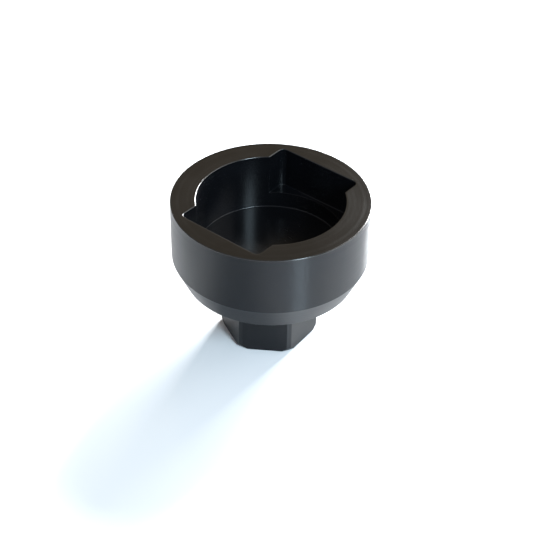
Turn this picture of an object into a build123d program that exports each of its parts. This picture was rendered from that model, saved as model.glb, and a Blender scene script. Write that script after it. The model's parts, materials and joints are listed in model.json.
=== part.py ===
from build123d import *
from build123d.topology import SkipClean
import os

# Oil filter cap wrench: a turned cup with a lug pocket and a hexagonal drive
# boss, carrying a hardened steel square drive insert. Millimetres, +Z up.
# The origin is the centre of the boss's bottom face. +X runs along the long
# side of the lug pocket. The hexagon is turned a few degrees from the pocket.

# Turned outside of the socket body
BODY_DIAMETER = 72.0
BODY_HEIGHT = 58.0
STRAIGHT_WALL_HEIGHT = 22.8
TAPER_HEIGHT = 9.2
TAPER_FOOT_DIAMETER = 63.5
RIM_CHAMFER = 0.35

# Hexagonal drive boss, its corners turned down to a circle and tapered at the foot
BOSS_ACROSS_FLATS = 32.0
BOSS_TURN = 4.0
BOSS_DIAMETER = 36.0
BOSS_LEAD_WIDTH = 0.9
BOSS_LEAD_HEIGHT = 1.7
BOSS_FOOT_CHAMFER = 0.3

# Round bore for the filter cap, and the shallower lug pocket across it
CAP_BORE_DIAMETER = 53.7
CAP_BORE_DEPTH = 22.5
CAP_BORE_FLOOR_FILLET = 0.5
LUG_POCKET_LENGTH = 56.4
LUG_POCKET_WIDTH = 35.0
LUG_POCKET_DEPTH = 16.0
LUG_POCKET_CORNER_RADIUS = 2.0
POCKET_SHOULDER_RADIUS = 0.5
MOUTH_CHAMFER = 0.35

# Square drive insert, pressed into the boss from below
INSERT_DIAMETER = 22.0
INSERT_LENGTH = 20.0
INSERT_RECESS = 0.5
INSERT_EDGE_CHAMFER = 0.4
DRIVE_SQUARE = 12.8
DRIVE_CORNER_RADIUS = 0.6
DRIVE_LEAD_IN = 0.8
DETENT_GROOVE_DIAMETER = 15.4
DETENT_GROOVE_WIDTH = 4.0
DETENT_GROOVE_HEIGHT = 8.0
SEAT_EDGE_CHAMFER = 0.4

# Dowel pins on the joint line between the insert and the boss
DOWEL_DIAMETER = 4.0
DOWEL_LENGTH = 14.0
DOWEL_RECESS = 1.0
DOWEL_CHAMFER = 0.5
DOWEL_HOLE_DEPTH = 16.0
DOWEL_SIDES = {"left_dowel_pin": -1, "right_dowel_pin": 1}

# Levels worked out from the sizes above
TAPER_TOP = BODY_HEIGHT - STRAIGHT_WALL_HEIGHT
UNDERSIDE = TAPER_TOP - TAPER_HEIGHT
BORE_FLOOR = BODY_HEIGHT - CAP_BORE_DEPTH
LUG_LEDGE = BODY_HEIGHT - LUG_POCKET_DEPTH
INSERT_TOP = INSERT_RECESS + INSERT_LENGTH

UPRIGHT = (Align.CENTER, Align.CENTER, Align.MIN)
TOLERANCE = 1e-3


def edges_at(solid, height):
    """The solid's edges that lie wholly at one height."""
    return solid.edges().filter_by_position(Axis.Z, height - TOLERANCE, height + TOLERANCE)


def turned_outside():
    """Straight wall over a short taper, with the rim's outer edge broken."""
    wall = Pos(0, 0, TAPER_TOP) * Cylinder(BODY_DIAMETER / 2, STRAIGHT_WALL_HEIGHT, align=UPRIGHT)
    wall = chamfer(edges_at(wall, BODY_HEIGHT), RIM_CHAMFER)
    taper = Cone(TAPER_FOOT_DIAMETER / 2, BODY_DIAMETER / 2, TAPER_HEIGHT, align=UPRIGHT)
    return wall + Pos(0, 0, UNDERSIDE) * taper


def drive_boss():
    """Hexagon milled on a turned stub, whose corners keep the stub's tapered foot."""
    foot_radius = BOSS_DIAMETER / 2 - BOSS_LEAD_WIDTH
    stub = Cone(foot_radius, BOSS_DIAMETER / 2, BOSS_LEAD_HEIGHT, align=UPRIGHT)
    straight = UNDERSIDE - BOSS_LEAD_HEIGHT
    stub += Pos(0, 0, BOSS_LEAD_HEIGHT) * Cylinder(BOSS_DIAMETER / 2, straight, align=UPRIGHT)
    hexagon = Rot(0, 0, BOSS_TURN) * RegularPolygon(BOSS_ACROSS_FLATS / 2, 6, major_radius=False)
    boss = stub & extrude(hexagon, UNDERSIDE)
    return chamfer(edges_at(boss, 0), BOSS_FOOT_CHAMFER)


def pocket_outline():
    """The cap bore's circle joined with the lug pocket's rounded rectangle."""
    lug_outline = RectangleRounded(LUG_POCKET_LENGTH, LUG_POCKET_WIDTH, LUG_POCKET_CORNER_RADIUS)
    outline = Circle(CAP_BORE_DIAMETER / 2) + lug_outline
    shoulders = [v for v in outline.vertices() if abs(v.center().length - CAP_BORE_DIAMETER / 2) < TOLERANCE]
    return fillet(shoulders, POCKET_SHOULDER_RADIUS)


def lower_bore():
    """Round end of the cap bore, from the ledge down to the floor."""
    height = LUG_LEDGE - BORE_FLOOR
    bore = Pos(0, 0, BORE_FLOOR) * Cylinder(CAP_BORE_DIAMETER / 2, height, align=UPRIGHT)
    return fillet(edges_at(bore, BORE_FLOOR), CAP_BORE_FLOOR_FILLET)


def lugged_pocket():
    """Bore and lug pocket together, from the rim down to the ledge."""
    return Pos(0, 0, LUG_LEDGE) * extrude(pocket_outline(), LUG_POCKET_DEPTH)


def insert_seat():
    """Blind bore that the insert is pressed into, with a broken edge."""
    seat = Cylinder(INSERT_DIAMETER / 2, INSERT_TOP, align=UPRIGHT)
    lead_in = Cone(INSERT_DIAMETER / 2 + SEAT_EDGE_CHAMFER, INSERT_DIAMETER / 2, SEAT_EDGE_CHAMFER, align=UPRIGHT)
    return seat + lead_in


def dowel_holes():
    """Holes drilled half in the insert and half in the boss."""
    hole = Cylinder(DOWEL_DIAMETER / 2, DOWEL_HOLE_DEPTH, align=UPRIGHT)
    return [Pos(side * INSERT_DIAMETER / 2, 0, 0) * hole for side in DOWEL_SIDES.values()]


def socket_body():
    """Cup and boss in one machined piece.

    The bore's wall is a full ring below the ledge and two arcs above it. The
    pockets are cut without merging faces, so ring and arcs stay separate faces.
    """
    body = turned_outside() + drive_boss() - insert_seat() - dowel_holes()
    pockets = [lower_bore(), lugged_pocket()]
    with SkipClean():
        body = body - pockets
    mouth = [e for e in edges_at(body, BODY_HEIGHT) if e.bounding_box().diagonal < BODY_DIAMETER]
    return chamfer(mouth, MOUTH_CHAMFER)


def drive_square():
    """Broached square through the insert, with a lead-in at its mouth."""
    outline = RectangleRounded(DRIVE_SQUARE, DRIVE_SQUARE, DRIVE_CORNER_RADIUS)
    square = Pos(0, 0, INSERT_RECESS) * extrude(outline, INSERT_LENGTH)
    wide = Pos(0, 0, INSERT_RECESS) * offset(outline, DRIVE_LEAD_IN)
    lead_in = extrude(wide, DRIVE_LEAD_IN, taper=45)
    return square + lead_in


def detent_groove():
    """Turned groove that catches the ratchet's spring ball."""
    height = DETENT_GROOVE_HEIGHT - DETENT_GROOVE_WIDTH / 2
    return Pos(0, 0, height) * Cylinder(DETENT_GROOVE_DIAMETER / 2, DETENT_GROOVE_WIDTH, align=UPRIGHT)


def square_drive_insert():
    """Steel bush that takes the ratchet's square and spares the softer body."""
    bush = Pos(0, 0, INSERT_RECESS) * Cylinder(INSERT_DIAMETER / 2, INSERT_LENGTH, align=UPRIGHT)
    bush = chamfer(edges_at(bush, INSERT_RECESS) + edges_at(bush, INSERT_TOP), INSERT_EDGE_CHAMFER)
    return bush - drive_square() - detent_groove() - dowel_holes()


def dowel_pin(side):
    """Hardened pin that keys the insert to the boss."""
    pin = Cylinder(DOWEL_DIAMETER / 2, DOWEL_LENGTH, align=UPRIGHT)
    pin = chamfer(pin.edges().filter_by(GeomType.CIRCLE), DOWEL_CHAMFER)
    return Pos(side * INSERT_DIAMETER / 2, 0, DOWEL_RECESS) * pin


pieces = {"socket_body": socket_body(), "square_drive_insert": square_drive_insert()}
for name, side in DOWEL_SIDES.items():
    pieces[name] = dowel_pin(side)

os.makedirs("parts", exist_ok=True)
for name, piece in pieces.items():
    export_step(piece, f"parts/{name}.step")
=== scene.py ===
"""Looks of the oil filter cap wrench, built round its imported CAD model. Metres, +Z up."""

import json
import math

import bmesh
import bpy
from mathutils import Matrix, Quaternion, Vector


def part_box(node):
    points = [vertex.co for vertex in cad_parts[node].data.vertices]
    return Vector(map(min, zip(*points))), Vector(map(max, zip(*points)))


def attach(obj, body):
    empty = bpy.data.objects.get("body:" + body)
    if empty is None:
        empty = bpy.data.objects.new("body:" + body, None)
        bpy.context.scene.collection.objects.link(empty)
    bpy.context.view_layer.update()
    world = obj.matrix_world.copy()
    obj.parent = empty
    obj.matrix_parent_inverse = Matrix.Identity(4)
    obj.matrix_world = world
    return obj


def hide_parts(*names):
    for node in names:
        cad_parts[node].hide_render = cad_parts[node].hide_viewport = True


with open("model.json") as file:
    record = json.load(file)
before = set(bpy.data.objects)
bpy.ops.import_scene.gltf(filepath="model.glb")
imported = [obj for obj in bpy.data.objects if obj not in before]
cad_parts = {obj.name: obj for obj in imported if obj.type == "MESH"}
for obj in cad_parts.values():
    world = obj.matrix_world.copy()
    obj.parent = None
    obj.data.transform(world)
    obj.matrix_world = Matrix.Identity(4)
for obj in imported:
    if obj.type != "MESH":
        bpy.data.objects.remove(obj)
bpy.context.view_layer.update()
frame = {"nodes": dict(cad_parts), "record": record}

MM = 0.001

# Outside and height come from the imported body, the bore from its mount
body_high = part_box("socket_body")[1]
BODY_RADIUS = body_high.x
RIM = body_high.z
MOUNTS = {mount["name"]: mount for mount in frame["record"]["mounts"]}
BORE_RADIUS = MOUNTS["cap_bore"]["dims"]["r_mm"] * MM

# Machined surfaces of the body, to the sizes of the CAD part
RIM_CHAMFER = 0.35 * MM
TAPER_TOP = RIM - 22.8 * MM
UNDERSIDE = TAPER_TOP - 9.2 * MM
TAPER_FOOT_RADIUS = 31.75 * MM
BORE_FLOOR = RIM - 22.5 * MM
BORE_FLOOR_FILLET = 0.5 * MM
LEDGE = RIM - 16.0 * MM
LUG_HALF_LENGTH = 28.2 * MM
LUG_HALF_WIDTH = 17.5 * MM
LUG_CORNER_RADIUS = 2.0 * MM
SHOULDER_RADIUS = 0.5 * MM
SHARPEST_SHOULDER = 0.05 * MM
MOUTH_CHAMFER = 0.35 * MM
BOSS_APOTHEM = 16.0 * MM
BOSS_TURN = math.radians(4.0)
BOSS_TURNED_RADIUS = 18.0 * MM
BOSS_LEAD_WIDTH = 0.9 * MM
BOSS_LEAD_HEIGHT = 1.7 * MM
BOSS_FOOT_CHAMFER = 0.3 * MM
SEAT_RADIUS = 11.0 * MM
SEAT_DEPTH = 20.5 * MM
SEAT_CHAMFER = 0.4 * MM
DOWEL_RADIUS = 2.0 * MM
DOWEL_HOLE_DEPTH = 16.0 * MM

# Rounding left on machined edges and corners
SHARP_EDGE = 0.12 * MM
SOFT_EDGE = 0.3 * MM
BOSS_CORNER_BLEND = 0.1 * MM
ARC_STEPS = 4
SHARP_ANGLE = math.radians(40.0)

# Spacing of the body's mesh round the axis: counts, and angles in radians
CORNER_STEPS = 12
SHOULDER_STEPS = 10
SHOULDER_MARGIN = 0.01
DOWEL_STEPS = 10
DOWEL_MARGIN_STEPS = 3
DOWEL_MARGIN = 0.02
FLAT_EDGE_STEPS = 6
FLAT_EDGE_MARGIN = 0.02
CLOSEST_ANGLES = 1e-4
MERGE_DISTANCE = 1e-7

# Black film over tool marks, and the barer metal of the broken edges
BLACK_IOR = 1.40
EDGE_IOR = 1.60
TINT_SPREAD = 0.25
SMOOTHEST = -0.05
ROUGHEST = 0.09
BROAD_LINE_RATIO = 9
QUARTER_TURN = 0.25

# Steel
STEEL_DARKEST = 0.7
STEEL_LIGHTEST = 1.2
STEEL_SMOOTHEST = -0.06
STEEL_ROUGHEST = 0.1

# Camera, from the rim's centre: where it aims, and where it stands
CAMERA_AZIMUTH = -50.8
CAMERA_ELEVATION = 38.2
CAMERA_DISTANCE = 13.665 * BODY_RADIUS
CAMERA_AIM_RIGHT = -0.035 * BODY_RADIUS
CAMERA_AIM_UP = -0.669 * BODY_RADIUS
CAMERA_ROLL = 0.90
CAMERA_LENS = 93.5

# Stage and light
FLOOR_SIZE = 6.0
FLOOR_COLOUR = (0.78, 0.78, 0.79, 1.0)
FLOOR_ROUGHNESS = 0.12
ROOM_COOL = (0.40, 0.425, 0.48, 1.0)
ROOM_WARM = (0.41, 0.34, 0.24, 1.0)
ROOM_WARM_ELEVATION = 35.0
COOL_UP_TO = 0.3
WARM_FROM = 0.9
PLAIN_WINDOW = (0.96, 0.985, 1.0)
BLUE_WINDOW = (0.68, 0.87, 1.0)


# Outlines: each gives the distance from the axis at an angle, grown outward by grow


def folded_angle(angle):
    """The angle of the same point mirrored into the first quadrant."""
    return math.atan2(abs(math.sin(angle)), abs(math.cos(angle)))


def ray_to_circle(angle, centre_x, centre_y, radius, far):
    """Distance along a ray from the axis to a circle, to its far or its near side."""
    distance = math.hypot(centre_x, centre_y)
    off = angle - math.atan2(centre_y, centre_x)
    chord = math.sqrt(max(radius**2 - (distance * math.sin(off)) ** 2, 0.0))
    return distance * math.cos(off) + (chord if far else -chord)


def pocket_shoulder(grow):
    """Radius and centre of the round between the lug pocket's long side and the bore."""
    radius = max(SHOULDER_RADIUS - grow, SHARPEST_SHOULDER)
    centre_y = LUG_HALF_WIDTH + grow + radius
    centre_x = math.sqrt((BORE_RADIUS + grow + radius) ** 2 - centre_y**2)
    return radius, centre_x, centre_y


def pocket_corner_angles(grow=0.0):
    """Angles in the first quadrant where the pocket's outline changes from one curve to the next."""
    length, width = LUG_HALF_LENGTH + grow, LUG_HALF_WIDTH + grow
    _, shoulder_x, shoulder_y = pocket_shoulder(grow)
    return (
        math.atan2(LUG_HALF_WIDTH - LUG_CORNER_RADIUS, length),
        math.atan2(width, LUG_HALF_LENGTH - LUG_CORNER_RADIUS),
        math.atan2(width, shoulder_x),
        math.atan2(shoulder_y, shoulder_x),
    )


def pocket(grow=0.0):
    """The bore's circle joined with the lug pocket's rounded rectangle, with rounded shoulders."""
    length, width = LUG_HALF_LENGTH + grow, LUG_HALF_WIDTH + grow
    corner = LUG_CORNER_RADIUS + grow
    corner_x, corner_y = LUG_HALF_LENGTH - LUG_CORNER_RADIUS, LUG_HALF_WIDTH - LUG_CORNER_RADIUS
    shoulder, shoulder_x, shoulder_y = pocket_shoulder(grow)
    corner_start, corner_end, shoulder_start, shoulder_end = pocket_corner_angles(grow)

    def radius(angle):
        folded = folded_angle(angle)
        if folded < corner_start:
            return length / math.cos(folded)
        if folded < corner_end:
            return ray_to_circle(folded, corner_x, corner_y, corner, far=True)
        if folded < shoulder_start:
            return width / math.sin(folded)
        if folded < shoulder_end:
            return ray_to_circle(folded, shoulder_x, shoulder_y, shoulder, far=False)
        return BORE_RADIUS + grow

    return radius


def circle(size):
    """A circle about the axis."""
    return lambda angle: size


def angle_from_flat(angle):
    """Angle from the middle of the nearest flat of the boss's hexagon."""
    return ((angle - BOSS_TURN) % (math.pi / 3)) - math.pi / 6


def boss(grow, turned):
    """Hexagon whose corners are turned down to a circle."""

    def radius(angle):
        flat = (BOSS_APOTHEM + grow) / math.cos(angle_from_flat(angle))
        round_off = turned + grow
        overlap = max(BOSS_CORNER_BLEND - abs(flat - round_off), 0.0) / BOSS_CORNER_BLEND
        return min(flat, round_off) - overlap**2 * BOSS_CORNER_BLEND / 4

    return radius


def seat(size):
    """The insert's seat, with half a dowel hole at each end of the X axis."""

    def radius(angle):
        folded = folded_angle(angle)
        if abs(SEAT_RADIUS * math.sin(folded)) > DOWEL_RADIUS or folded > math.pi / 4:
            return size
        return max(size, ray_to_circle(folded, SEAT_RADIUS, 0.0, DOWEL_RADIUS, far=True))

    return radius


def within(outline, limit):
    """An outline that goes no further out than another one."""
    return lambda angle: min(outline(angle), limit(angle))


def beyond(outline, limit):
    """An outline that comes no further in than another one."""
    return lambda angle: max(outline(angle), limit(angle))


# Meshes


def between(start, end, steps):
    """Evenly spaced values from start to end, both included."""
    return [start + (end - start) * i / steps for i in range(steps + 1)]


def angles_round():
    """Angles of the body's mesh: one a degree, and closer where an outline turns."""
    corner_start, corner_end, shoulder_start, shoulder_end = pocket_corner_angles()
    dowel_edge = 2 * math.asin(DOWEL_RADIUS / SEAT_RADIUS / 2)
    quadrant = between(corner_start, corner_end, CORNER_STEPS)
    quadrant += between(shoulder_start - SHOULDER_MARGIN, shoulder_end + SHOULDER_MARGIN, SHOULDER_STEPS)
    quadrant += between(0.0, dowel_edge, DOWEL_STEPS)
    quadrant += between(dowel_edge, dowel_edge + DOWEL_MARGIN, DOWEL_MARGIN_STEPS)
    angles = [math.radians(degree) for degree in range(360)]
    for angle in quadrant:
        angles += [angle, math.pi - angle, math.pi + angle, 2 * math.pi - angle]
    boss_edge = math.acos(BOSS_APOTHEM / BOSS_TURNED_RADIUS)
    for flat in range(6):
        middle = math.pi / 6 + flat * math.pi / 3 + BOSS_TURN
        for side in (-1, 1):
            edge = middle + side * boss_edge
            angles += between(edge - FLAT_EDGE_MARGIN, edge + FLAT_EDGE_MARGIN, FLAT_EDGE_STEPS)
    kept = []
    for angle in sorted(a % (2 * math.pi) for a in angles):
        if not kept or angle - kept[-1] > CLOSEST_ANGLES:
            kept.append(angle)
    return kept


def rounded(corners):
    """A profile through (offset, height, rounding) corners, each corner turned by a short curve."""
    points = []
    for i, (offset, height, rounding) in enumerate(corners):
        here = Vector((offset, height))
        if rounding == 0.0:
            points.append(here)
            continue
        towards = [(Vector(corners[i + step][:2]) - here).normalized() for step in (-1, 1)]
        half_turn = (math.pi - towards[0].angle(towards[1])) / 2
        reach = rounding * math.tan(half_turn)
        start, end = (here + way * reach for way in towards)
        for t in between(0.0, 1.0, ARC_STEPS):
            points.append(start * (1 - t) ** 2 + here * 2 * t * (1 - t) + end * t**2)
    return points


def stack(stations, angles):
    """A closed bmesh through a stack of (outline, height, finish) stations.

    finish says which material the faces up to the next station have, or is a
    function that gives it from the angle.
    """
    mesh = bmesh.new()
    rings = []
    for outline, height, _ in stations:
        sizes = [outline(angle) for angle in angles]
        points = [(r * math.cos(angle), r * math.sin(angle), height) for r, angle in zip(sizes, angles)]
        rings.append([mesh.verts.new(point) for point in points])
    for lower, upper, (_, _, finish) in zip(rings, rings[1:], stations):
        for i, angle in enumerate(angles):
            j = (i + 1) % len(angles)
            face = mesh.faces.new((lower[i], lower[j], upper[j], upper[i]))
            face.material_index = finish(angle) if callable(finish) else finish
            face.smooth = True
    return mesh


def clean(mesh):
    """Merges the points that fall together, turns the faces outward and marks the sharp edges."""
    bmesh.ops.remove_doubles(mesh, verts=mesh.verts, dist=MERGE_DISTANCE)
    bmesh.ops.dissolve_degenerate(mesh, edges=mesh.edges, dist=MERGE_DISTANCE)
    bmesh.ops.recalc_face_normals(mesh, faces=mesh.faces)
    for edge in mesh.edges:
        edge.smooth = edge.calc_face_angle(0.0) < SHARP_ANGLE


def skin(name, stations, angles, finishes):
    """An object with a closed mesh through the stations, shaded so that large faces look flat."""
    mesh = stack(stations, angles)
    clean(mesh)
    data = bpy.data.meshes.new(name)
    mesh.to_mesh(data)
    mesh.free()
    for finish in finishes:
        data.materials.append(finish)
    piece = bpy.data.objects.new(name, data)
    bpy.context.scene.collection.objects.link(piece)
    flats = piece.modifiers.new("flat_faces_stay_flat", "WEIGHTED_NORMAL")
    flats.mode = "FACE_AREA"
    flats.weight = 100
    flats.keep_sharp = True
    return piece


# Finishes


def add(tree, kind, inputs=None, **settings):
    """Adds a shader node with its settings, and sets or links its inputs."""
    node = tree.nodes.new("ShaderNode" + kind)
    for key, value in settings.items():
        setattr(node, key, value)
    for key, value in (inputs or {}).items():
        if isinstance(value, bpy.types.NodeSocket):
            tree.links.new(value, node.inputs[key])
        else:
            node.inputs[key].default_value = value
    return node


def blank_material(name):
    """A new node material, its tree, its shader, and its object coordinates."""
    material = bpy.data.materials.new(name)
    material.use_nodes = True
    tree = material.node_tree
    place = add(tree, "TexCoord").outputs["Object"]
    return material, tree, tree.nodes["Principled BSDF"], place


def tool_travel(tree, place):
    """How far a lathe tool has moved along the profile: distance from the axis plus height."""
    split = add(tree, "SeparateXYZ", {0: place})
    level = add(tree, "CombineXYZ", {0: split.outputs[0], 1: split.outputs[1]})
    reach = add(tree, "VectorMath", {0: level.outputs[0]}, operation="LENGTH")
    return add(tree, "Math", {0: reach.outputs["Value"], 1: split.outputs[2]}).outputs[0]


def lines(tree, travel, pitch):
    """Uneven parallel lines across the direction of travel."""
    settings = {"W": travel, "Scale": 1 / pitch, "Detail": 2.0, "Roughness": 0.6}
    return add(tree, "TexNoise", settings, noise_dimensions="1D").outputs["Fac"]


def mapped(tree, value, low, high):
    """A 0 to 1 value spread from low to high."""
    return add(tree, "MapRange", {"Value": value, "To Min": low, "To Max": high}).outputs["Result"]


def blend(tree, value, low, high):
    """A colour that goes from one to another between two levels of a value, each a (level, colour)."""
    ramp = add(tree, "ValToRGB", {0: value})
    for element, (level, colour) in zip(ramp.color_ramp.elements, (low, high)):
        element.position = level
        element.color = colour
    return ramp.outputs["Color"]


def anodised(name, tint, roughness, anisotropy, line_pitch, line_height, ior=BLACK_IOR):
    """Black anodised aluminium over fine tool marks that follow the lathe."""
    material, tree, shader, place = blank_material(name)
    travel = tool_travel(tree, place)
    fine = lines(tree, travel, line_pitch)
    broad = lines(tree, travel, line_pitch * BROAD_LINE_RATIO)
    clouds = add(tree, "TexNoise", {"Vector": place, "Scale": 70.0, "Detail": 4.0}).outputs["Fac"]

    darker = [c * (1 - TINT_SPREAD) for c in tint] + [1.0]
    lighter = [c * (1 + TINT_SPREAD) for c in tint] + [1.0]
    shade = blend(tree, clouds, (0.3, darker), (0.7, lighter))
    tree.links.new(shade, shader.inputs["Base Color"])

    uneven = add(tree, "Math", {0: broad, 1: clouds}, operation="MULTIPLY").outputs[0]
    gloss = mapped(tree, uneven, roughness + SMOOTHEST, roughness + ROUGHEST)
    tree.links.new(gloss, shader.inputs["Roughness"])

    relief = add(tree, "Math", {0: fine, 1: broad}).outputs[0]
    bump = add(tree, "Bump", {"Height": relief, "Distance": line_height, "Strength": 1.0})
    tree.links.new(bump.outputs["Normal"], shader.inputs["Normal"])

    around = add(tree, "Tangent", direction_type="RADIAL", axis="Z")
    tree.links.new(around.outputs["Tangent"], shader.inputs["Tangent"])
    shader.inputs["Anisotropic"].default_value = anisotropy
    shader.inputs["Anisotropic Rotation"].default_value = QUARTER_TURN
    shader.inputs["IOR"].default_value = ior
    return material


def steel(name, tint, roughness, line_pitch, line_height, upright):
    """Hardened steel, lined up and down where it was broached and round where it was ground."""
    material, tree, shader, place = blank_material(name)
    if upright:
        split = add(tree, "SeparateXYZ", {0: place})
        travel = add(tree, "Math", {0: split.outputs[0], 1: split.outputs[1]}).outputs[0]
    else:
        travel = tool_travel(tree, place)
    fine = lines(tree, travel, line_pitch)
    clouds = add(tree, "TexNoise", {"Vector": place, "Scale": 220.0, "Detail": 5.0}).outputs["Fac"]

    darker = [c * STEEL_DARKEST for c in tint] + [1.0]
    lighter = [c * STEEL_LIGHTEST for c in tint] + [1.0]
    shade = blend(tree, clouds, (0.0, darker), (1.0, lighter))
    tree.links.new(shade, shader.inputs["Base Color"])

    gloss = mapped(tree, clouds, roughness + STEEL_SMOOTHEST, roughness + STEEL_ROUGHEST)
    tree.links.new(gloss, shader.inputs["Roughness"])

    bump = add(tree, "Bump", {"Height": fine, "Distance": line_height, "Strength": 1.0})
    tree.links.new(bump.outputs["Normal"], shader.inputs["Normal"])
    shader.inputs["Metallic"].default_value = 1.0
    return material


TURNED = anodised(
    "turned_anodised", tint=(0.0019, 0.0029, 0.0048), roughness=0.355, anisotropy=0.93,
    line_pitch=0.14 * MM, line_height=0.0006 * MM,
)
# The rim's base colour is a warmer black than the walls' bluer black.
FACED = anodised(
    "faced_anodised", tint=(0.0033, 0.0028, 0.0026), roughness=0.20, anisotropy=0.30,
    line_pitch=0.14 * MM, line_height=0.0004 * MM,
)
BORED = anodised(
    "bored_anodised", tint=(0.0026, 0.0029, 0.0038), roughness=0.26, anisotropy=0.32,
    line_pitch=0.14 * MM, line_height=0.0001 * MM,
)
MILLED = anodised(
    "milled_anodised", tint=(0.0026, 0.0029, 0.0038), roughness=0.25, anisotropy=0.30,
    line_pitch=0.5 * MM, line_height=0.0005 * MM,
)
FLATS = anodised(
    "milled_flats_anodised", tint=(0.0022, 0.0029, 0.0045), roughness=0.40, anisotropy=0.90,
    line_pitch=0.5 * MM, line_height=0.0006 * MM,
)
EDGES = anodised(
    "broken_edges", tint=(0.006, 0.006, 0.006), roughness=0.20, anisotropy=0.0,
    line_pitch=0.3 * MM, line_height=0.0003 * MM, ior=EDGE_IOR,
)
INSERT_STEEL = steel(
    "broached_steel", tint=(0.30, 0.29, 0.28), roughness=0.34,
    line_pitch=0.12 * MM, line_height=0.002 * MM, upright=True,
)
PIN_STEEL = steel(
    "ground_steel", tint=(0.55, 0.55, 0.56), roughness=0.24,
    line_pitch=0.06 * MM, line_height=0.001 * MM, upright=False,
)
BODY_FINISHES = [TURNED, FACED, BORED, MILLED, FLATS, EDGES]
TURNED_FACE, RIM_FACE, BORED_FACE, MILLED_FACE, FLAT_FACE, EDGE_FACE = range(len(BODY_FINISHES))


# The body, from the middle of the bore's floor, over the rim and down to the boss's foot


def pocket_finish(angle):
    """Bored where the pocket's wall is round, milled where it belongs to the lug pocket."""
    folded = folded_angle(angle)
    return BORED_FACE if folded > pocket_corner_angles()[3] else MILLED_FACE


def boss_finish(angle):
    """Milled on the flats, turned on the corners."""
    on_flat = abs(angle_from_flat(angle)) < math.acos(BOSS_APOTHEM / BOSS_TURNED_RADIUS)
    return FLAT_FACE if on_flat else TURNED_FACE


def bore_stations():
    """Floor, fillet and round wall up to the ledge."""
    profile = rounded([
        (0.0, BORE_FLOOR, 0.0),
        (BORE_RADIUS, BORE_FLOOR, BORE_FLOOR_FILLET),
        (BORE_RADIUS, LEDGE - SHARP_EDGE, 0.0),
    ])
    return [(circle(offset), height, BORED_FACE) for offset, height in profile]


def ledge_stations():
    """Broken edge, flat and corner of the ledge; all three have no width where the wall is round."""
    edge = rounded([
        (0.0, LEDGE - SHARP_EDGE * 2, 0.0),
        (0.0, LEDGE, SHARP_EDGE),
        (SHARP_EDGE * 2, LEDGE, 0.0),
    ])[1:-1]
    corner = rounded([
        (-SOFT_EDGE * 2, LEDGE, 0.0),
        (0.0, LEDGE, SOFT_EDGE),
        (0.0, LEDGE + SOFT_EDGE * 2, 0.0),
    ])[1:-1]
    stations = []
    for offset, height in edge:
        stations.append((within(circle(BORE_RADIUS + offset), pocket()), height, pocket_finish))
    for offset, height in corner:
        stations.append((beyond(pocket(offset), circle(BORE_RADIUS)), height, pocket_finish))
    return stations


def mouth_stations():
    """Top of the pocket's wall and the broken edge round its mouth."""
    profile = rounded([
        (0.0, RIM - MOUTH_CHAMFER - SOFT_EDGE, 0.0),
        (0.0, RIM, MOUTH_CHAMFER),
        (MOUTH_CHAMFER + SOFT_EDGE, RIM, 0.0),
    ])
    finishes = [pocket_finish] + [EDGE_FACE] * (len(profile) - 3) + [RIM_FACE] * 2
    return [(pocket(offset), height, finish) for (offset, height), finish in zip(profile, finishes)]


def rim_edge_stations():
    """Broken edge round the outside of the rim."""
    profile = rounded([
        (BODY_RADIUS - RIM_CHAMFER - SOFT_EDGE, RIM, 0.0),
        (BODY_RADIUS, RIM, RIM_CHAMFER),
        (BODY_RADIUS, RIM - RIM_CHAMFER - SOFT_EDGE, 0.0),
    ])[:-1]
    finishes = [RIM_FACE] + [EDGE_FACE] * (len(profile) - 2) + [TURNED_FACE]
    return [(circle(offset), height, finish) for (offset, height), finish in zip(profile, finishes)]


def outside_stations():
    """Straight wall, taper and underside."""
    profile = rounded([
        (BODY_RADIUS, TAPER_TOP + SOFT_EDGE * 2, 0.0),
        (BODY_RADIUS, TAPER_TOP, SOFT_EDGE),
        (TAPER_FOOT_RADIUS, UNDERSIDE, SOFT_EDGE),
        (BOSS_TURNED_RADIUS + 3 * SOFT_EDGE, UNDERSIDE, 0.0),
    ])
    return [(circle(offset), height, TURNED_FACE) for offset, height in profile]


def boss_stations():
    """Root, flats, tapered corners and chamfered foot of the boss."""
    profile = rounded([
        (2 * SOFT_EDGE, UNDERSIDE, 0.0),
        (0.0, UNDERSIDE, SOFT_EDGE),
        (0.0, BOSS_LEAD_HEIGHT + SHARP_EDGE, 0.0),
    ])
    profile += [(0.0, height) for height in between(BOSS_LEAD_HEIGHT, 2 * BOSS_FOOT_CHAMFER, 4)]
    profile += rounded([
        (0.0, 2 * BOSS_FOOT_CHAMFER, 0.0),
        (0.0, BOSS_FOOT_CHAMFER, SHARP_EDGE),
        (-BOSS_FOOT_CHAMFER, 0.0, SHARP_EDGE),
        (-BOSS_FOOT_CHAMFER - SOFT_EDGE, 0.0, 0.0),
    ])[1:]
    stations = []
    for offset, height in profile:
        below_lead = max(BOSS_LEAD_HEIGHT - height, 0.0) / BOSS_LEAD_HEIGHT
        turned = BOSS_TURNED_RADIUS - BOSS_LEAD_WIDTH * below_lead
        stations.append((boss(offset, turned), height, boss_finish))
    return stations


def seat_stations():
    """Seat of the insert with its two half dowel holes, closed at its end."""
    mouth = SEAT_RADIUS + SEAT_CHAMFER
    return [
        (seat(mouth), 0.0, EDGE_FACE),
        (seat(SEAT_RADIUS), SEAT_CHAMFER, TURNED_FACE),
        (seat(SEAT_RADIUS), DOWEL_HOLE_DEPTH, TURNED_FACE),
        (circle(SEAT_RADIUS), DOWEL_HOLE_DEPTH, TURNED_FACE),
        (circle(SEAT_RADIUS), SEAT_DEPTH, TURNED_FACE),
        (circle(0.0), SEAT_DEPTH, TURNED_FACE),
    ]


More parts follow.
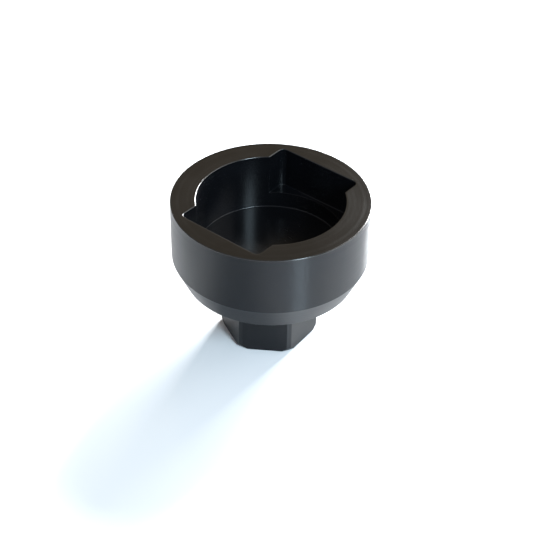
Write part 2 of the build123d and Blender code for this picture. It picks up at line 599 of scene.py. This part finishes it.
def socket_body():
    """The machined body, with every edge that the tool leaves."""
    stations = bore_stations() + ledge_stations() + mouth_stations()
    stations += rim_edge_stations() + outside_stations() + boss_stations() + seat_stations()
    body = skin("machined_socket_body", stations, angles_round(), BODY_FINISHES)
    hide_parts("socket_body")
    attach(body, "root")


def dress(node, material):
    """Gives a CAD node its finish."""
    piece = frame["nodes"][node]
    piece.data.materials.clear()
    piece.data.materials.append(material)


# Stage, lights and camera


def direction(azimuth, elevation):
    """Unit vector from the object towards a viewer at that azimuth and elevation."""
    a, e = math.radians(azimuth), math.radians(elevation)
    return Vector((math.sin(a) * math.cos(e), -math.cos(a) * math.cos(e), math.sin(e)))


def soft_light(name, azimuth, elevation, distance, width, height, radiance, colour):
    """A rectangular soft box that faces the object."""
    data = bpy.data.lights.new(name, "AREA")
    data.shape = "RECTANGLE"
    data.size, data.size_y = width, height
    data.energy = radiance * math.pi * width * height
    data.color = colour
    light = bpy.data.objects.new(name, data)
    bpy.context.scene.collection.objects.link(light)
    towards = direction(azimuth, elevation)
    light.location = Vector((0.0, 0.0, RIM / 2)) + towards * distance
    light.rotation_euler = towards.to_track_quat("Z", "Y").to_euler()


def floor():
    """Plain pale floor."""
    bpy.ops.mesh.primitive_plane_add(size=FLOOR_SIZE, location=(0.0, 0.0, 0.0))
    plane = bpy.context.active_object
    plane.name = "floor"
    material, _, shader, _ = blank_material("floor_white")
    shader.inputs["Base Color"].default_value = FLOOR_COLOUR
    shader.inputs["Roughness"].default_value = FLOOR_ROUGHNESS
    plane.data.materials.append(material)


def surroundings():
    """A grey room, cool in front of the object and warm behind it."""
    world = bpy.data.worlds.new("studio")
    bpy.context.scene.world = world
    world.use_nodes = True
    tree = world.node_tree
    place = add(tree, "TexCoord").outputs["Generated"]
    behind = direction(CAMERA_AZIMUTH + 180.0, ROOM_WARM_ELEVATION)
    facing = add(tree, "VectorMath", {0: place, 1: behind}, operation="DOT_PRODUCT")
    colour = blend(tree, facing.outputs["Value"], (COOL_UP_TO, ROOM_COOL), (WARM_FROM, ROOM_WARM))
    background = tree.nodes["Background"]
    tree.links.new(colour, background.inputs["Color"])
    background.inputs["Strength"].default_value = 1.0


def camera():
    """Camera at the viewing angle, aimed a little below the rim."""
    data = bpy.data.cameras.new("camera")
    data.lens = CAMERA_LENS
    data.clip_start, data.clip_end = 0.05, 20.0
    view = bpy.data.objects.new("camera", data)
    bpy.context.scene.collection.objects.link(view)
    towards = direction(CAMERA_AZIMUTH, CAMERA_ELEVATION)
    level = towards.to_track_quat("Z", "Y")
    right, up = level @ Vector((1, 0, 0)), level @ Vector((0, 1, 0))
    aim = Vector((0.0, 0.0, RIM)) + right * CAMERA_AIM_RIGHT + up * CAMERA_AIM_UP
    view.location = aim + towards * CAMERA_DISTANCE
    view.rotation_mode = "QUATERNION"
    view.rotation_quaternion = level @ Quaternion((0, 0, 1), math.radians(CAMERA_ROLL))
    bpy.context.scene.camera = view


def lights():
    """A tall bright window behind to the right, a small one in front and a wide dim one to the right."""
    soft_light(
        "side_window", azimuth=CAMERA_AZIMUTH + 149.4, elevation=18.7, distance=1.5,
        width=0.51, height=1.16, radiance=84.4, colour=PLAIN_WINDOW,
    )
    soft_light(
        "front_window", azimuth=CAMERA_AZIMUTH + 34.1, elevation=34.8, distance=1.2,
        width=0.22, height=0.47, radiance=55.6, colour=BLUE_WINDOW,
    )
    soft_light(
        "right_window", azimuth=CAMERA_AZIMUTH + 88.0, elevation=34.0, distance=1.5,
        width=1.20, height=0.45, radiance=5.5, colour=PLAIN_WINDOW,
    )


socket_body()
dress("square_drive_insert", INSERT_STEEL)
dress("left_dowel_pin", PIN_STEEL)
dress("right_dowel_pin", PIN_STEEL)
floor()
surroundings()
lights()
camera()
bpy.context.scene.view_settings.view_transform = "Standard"
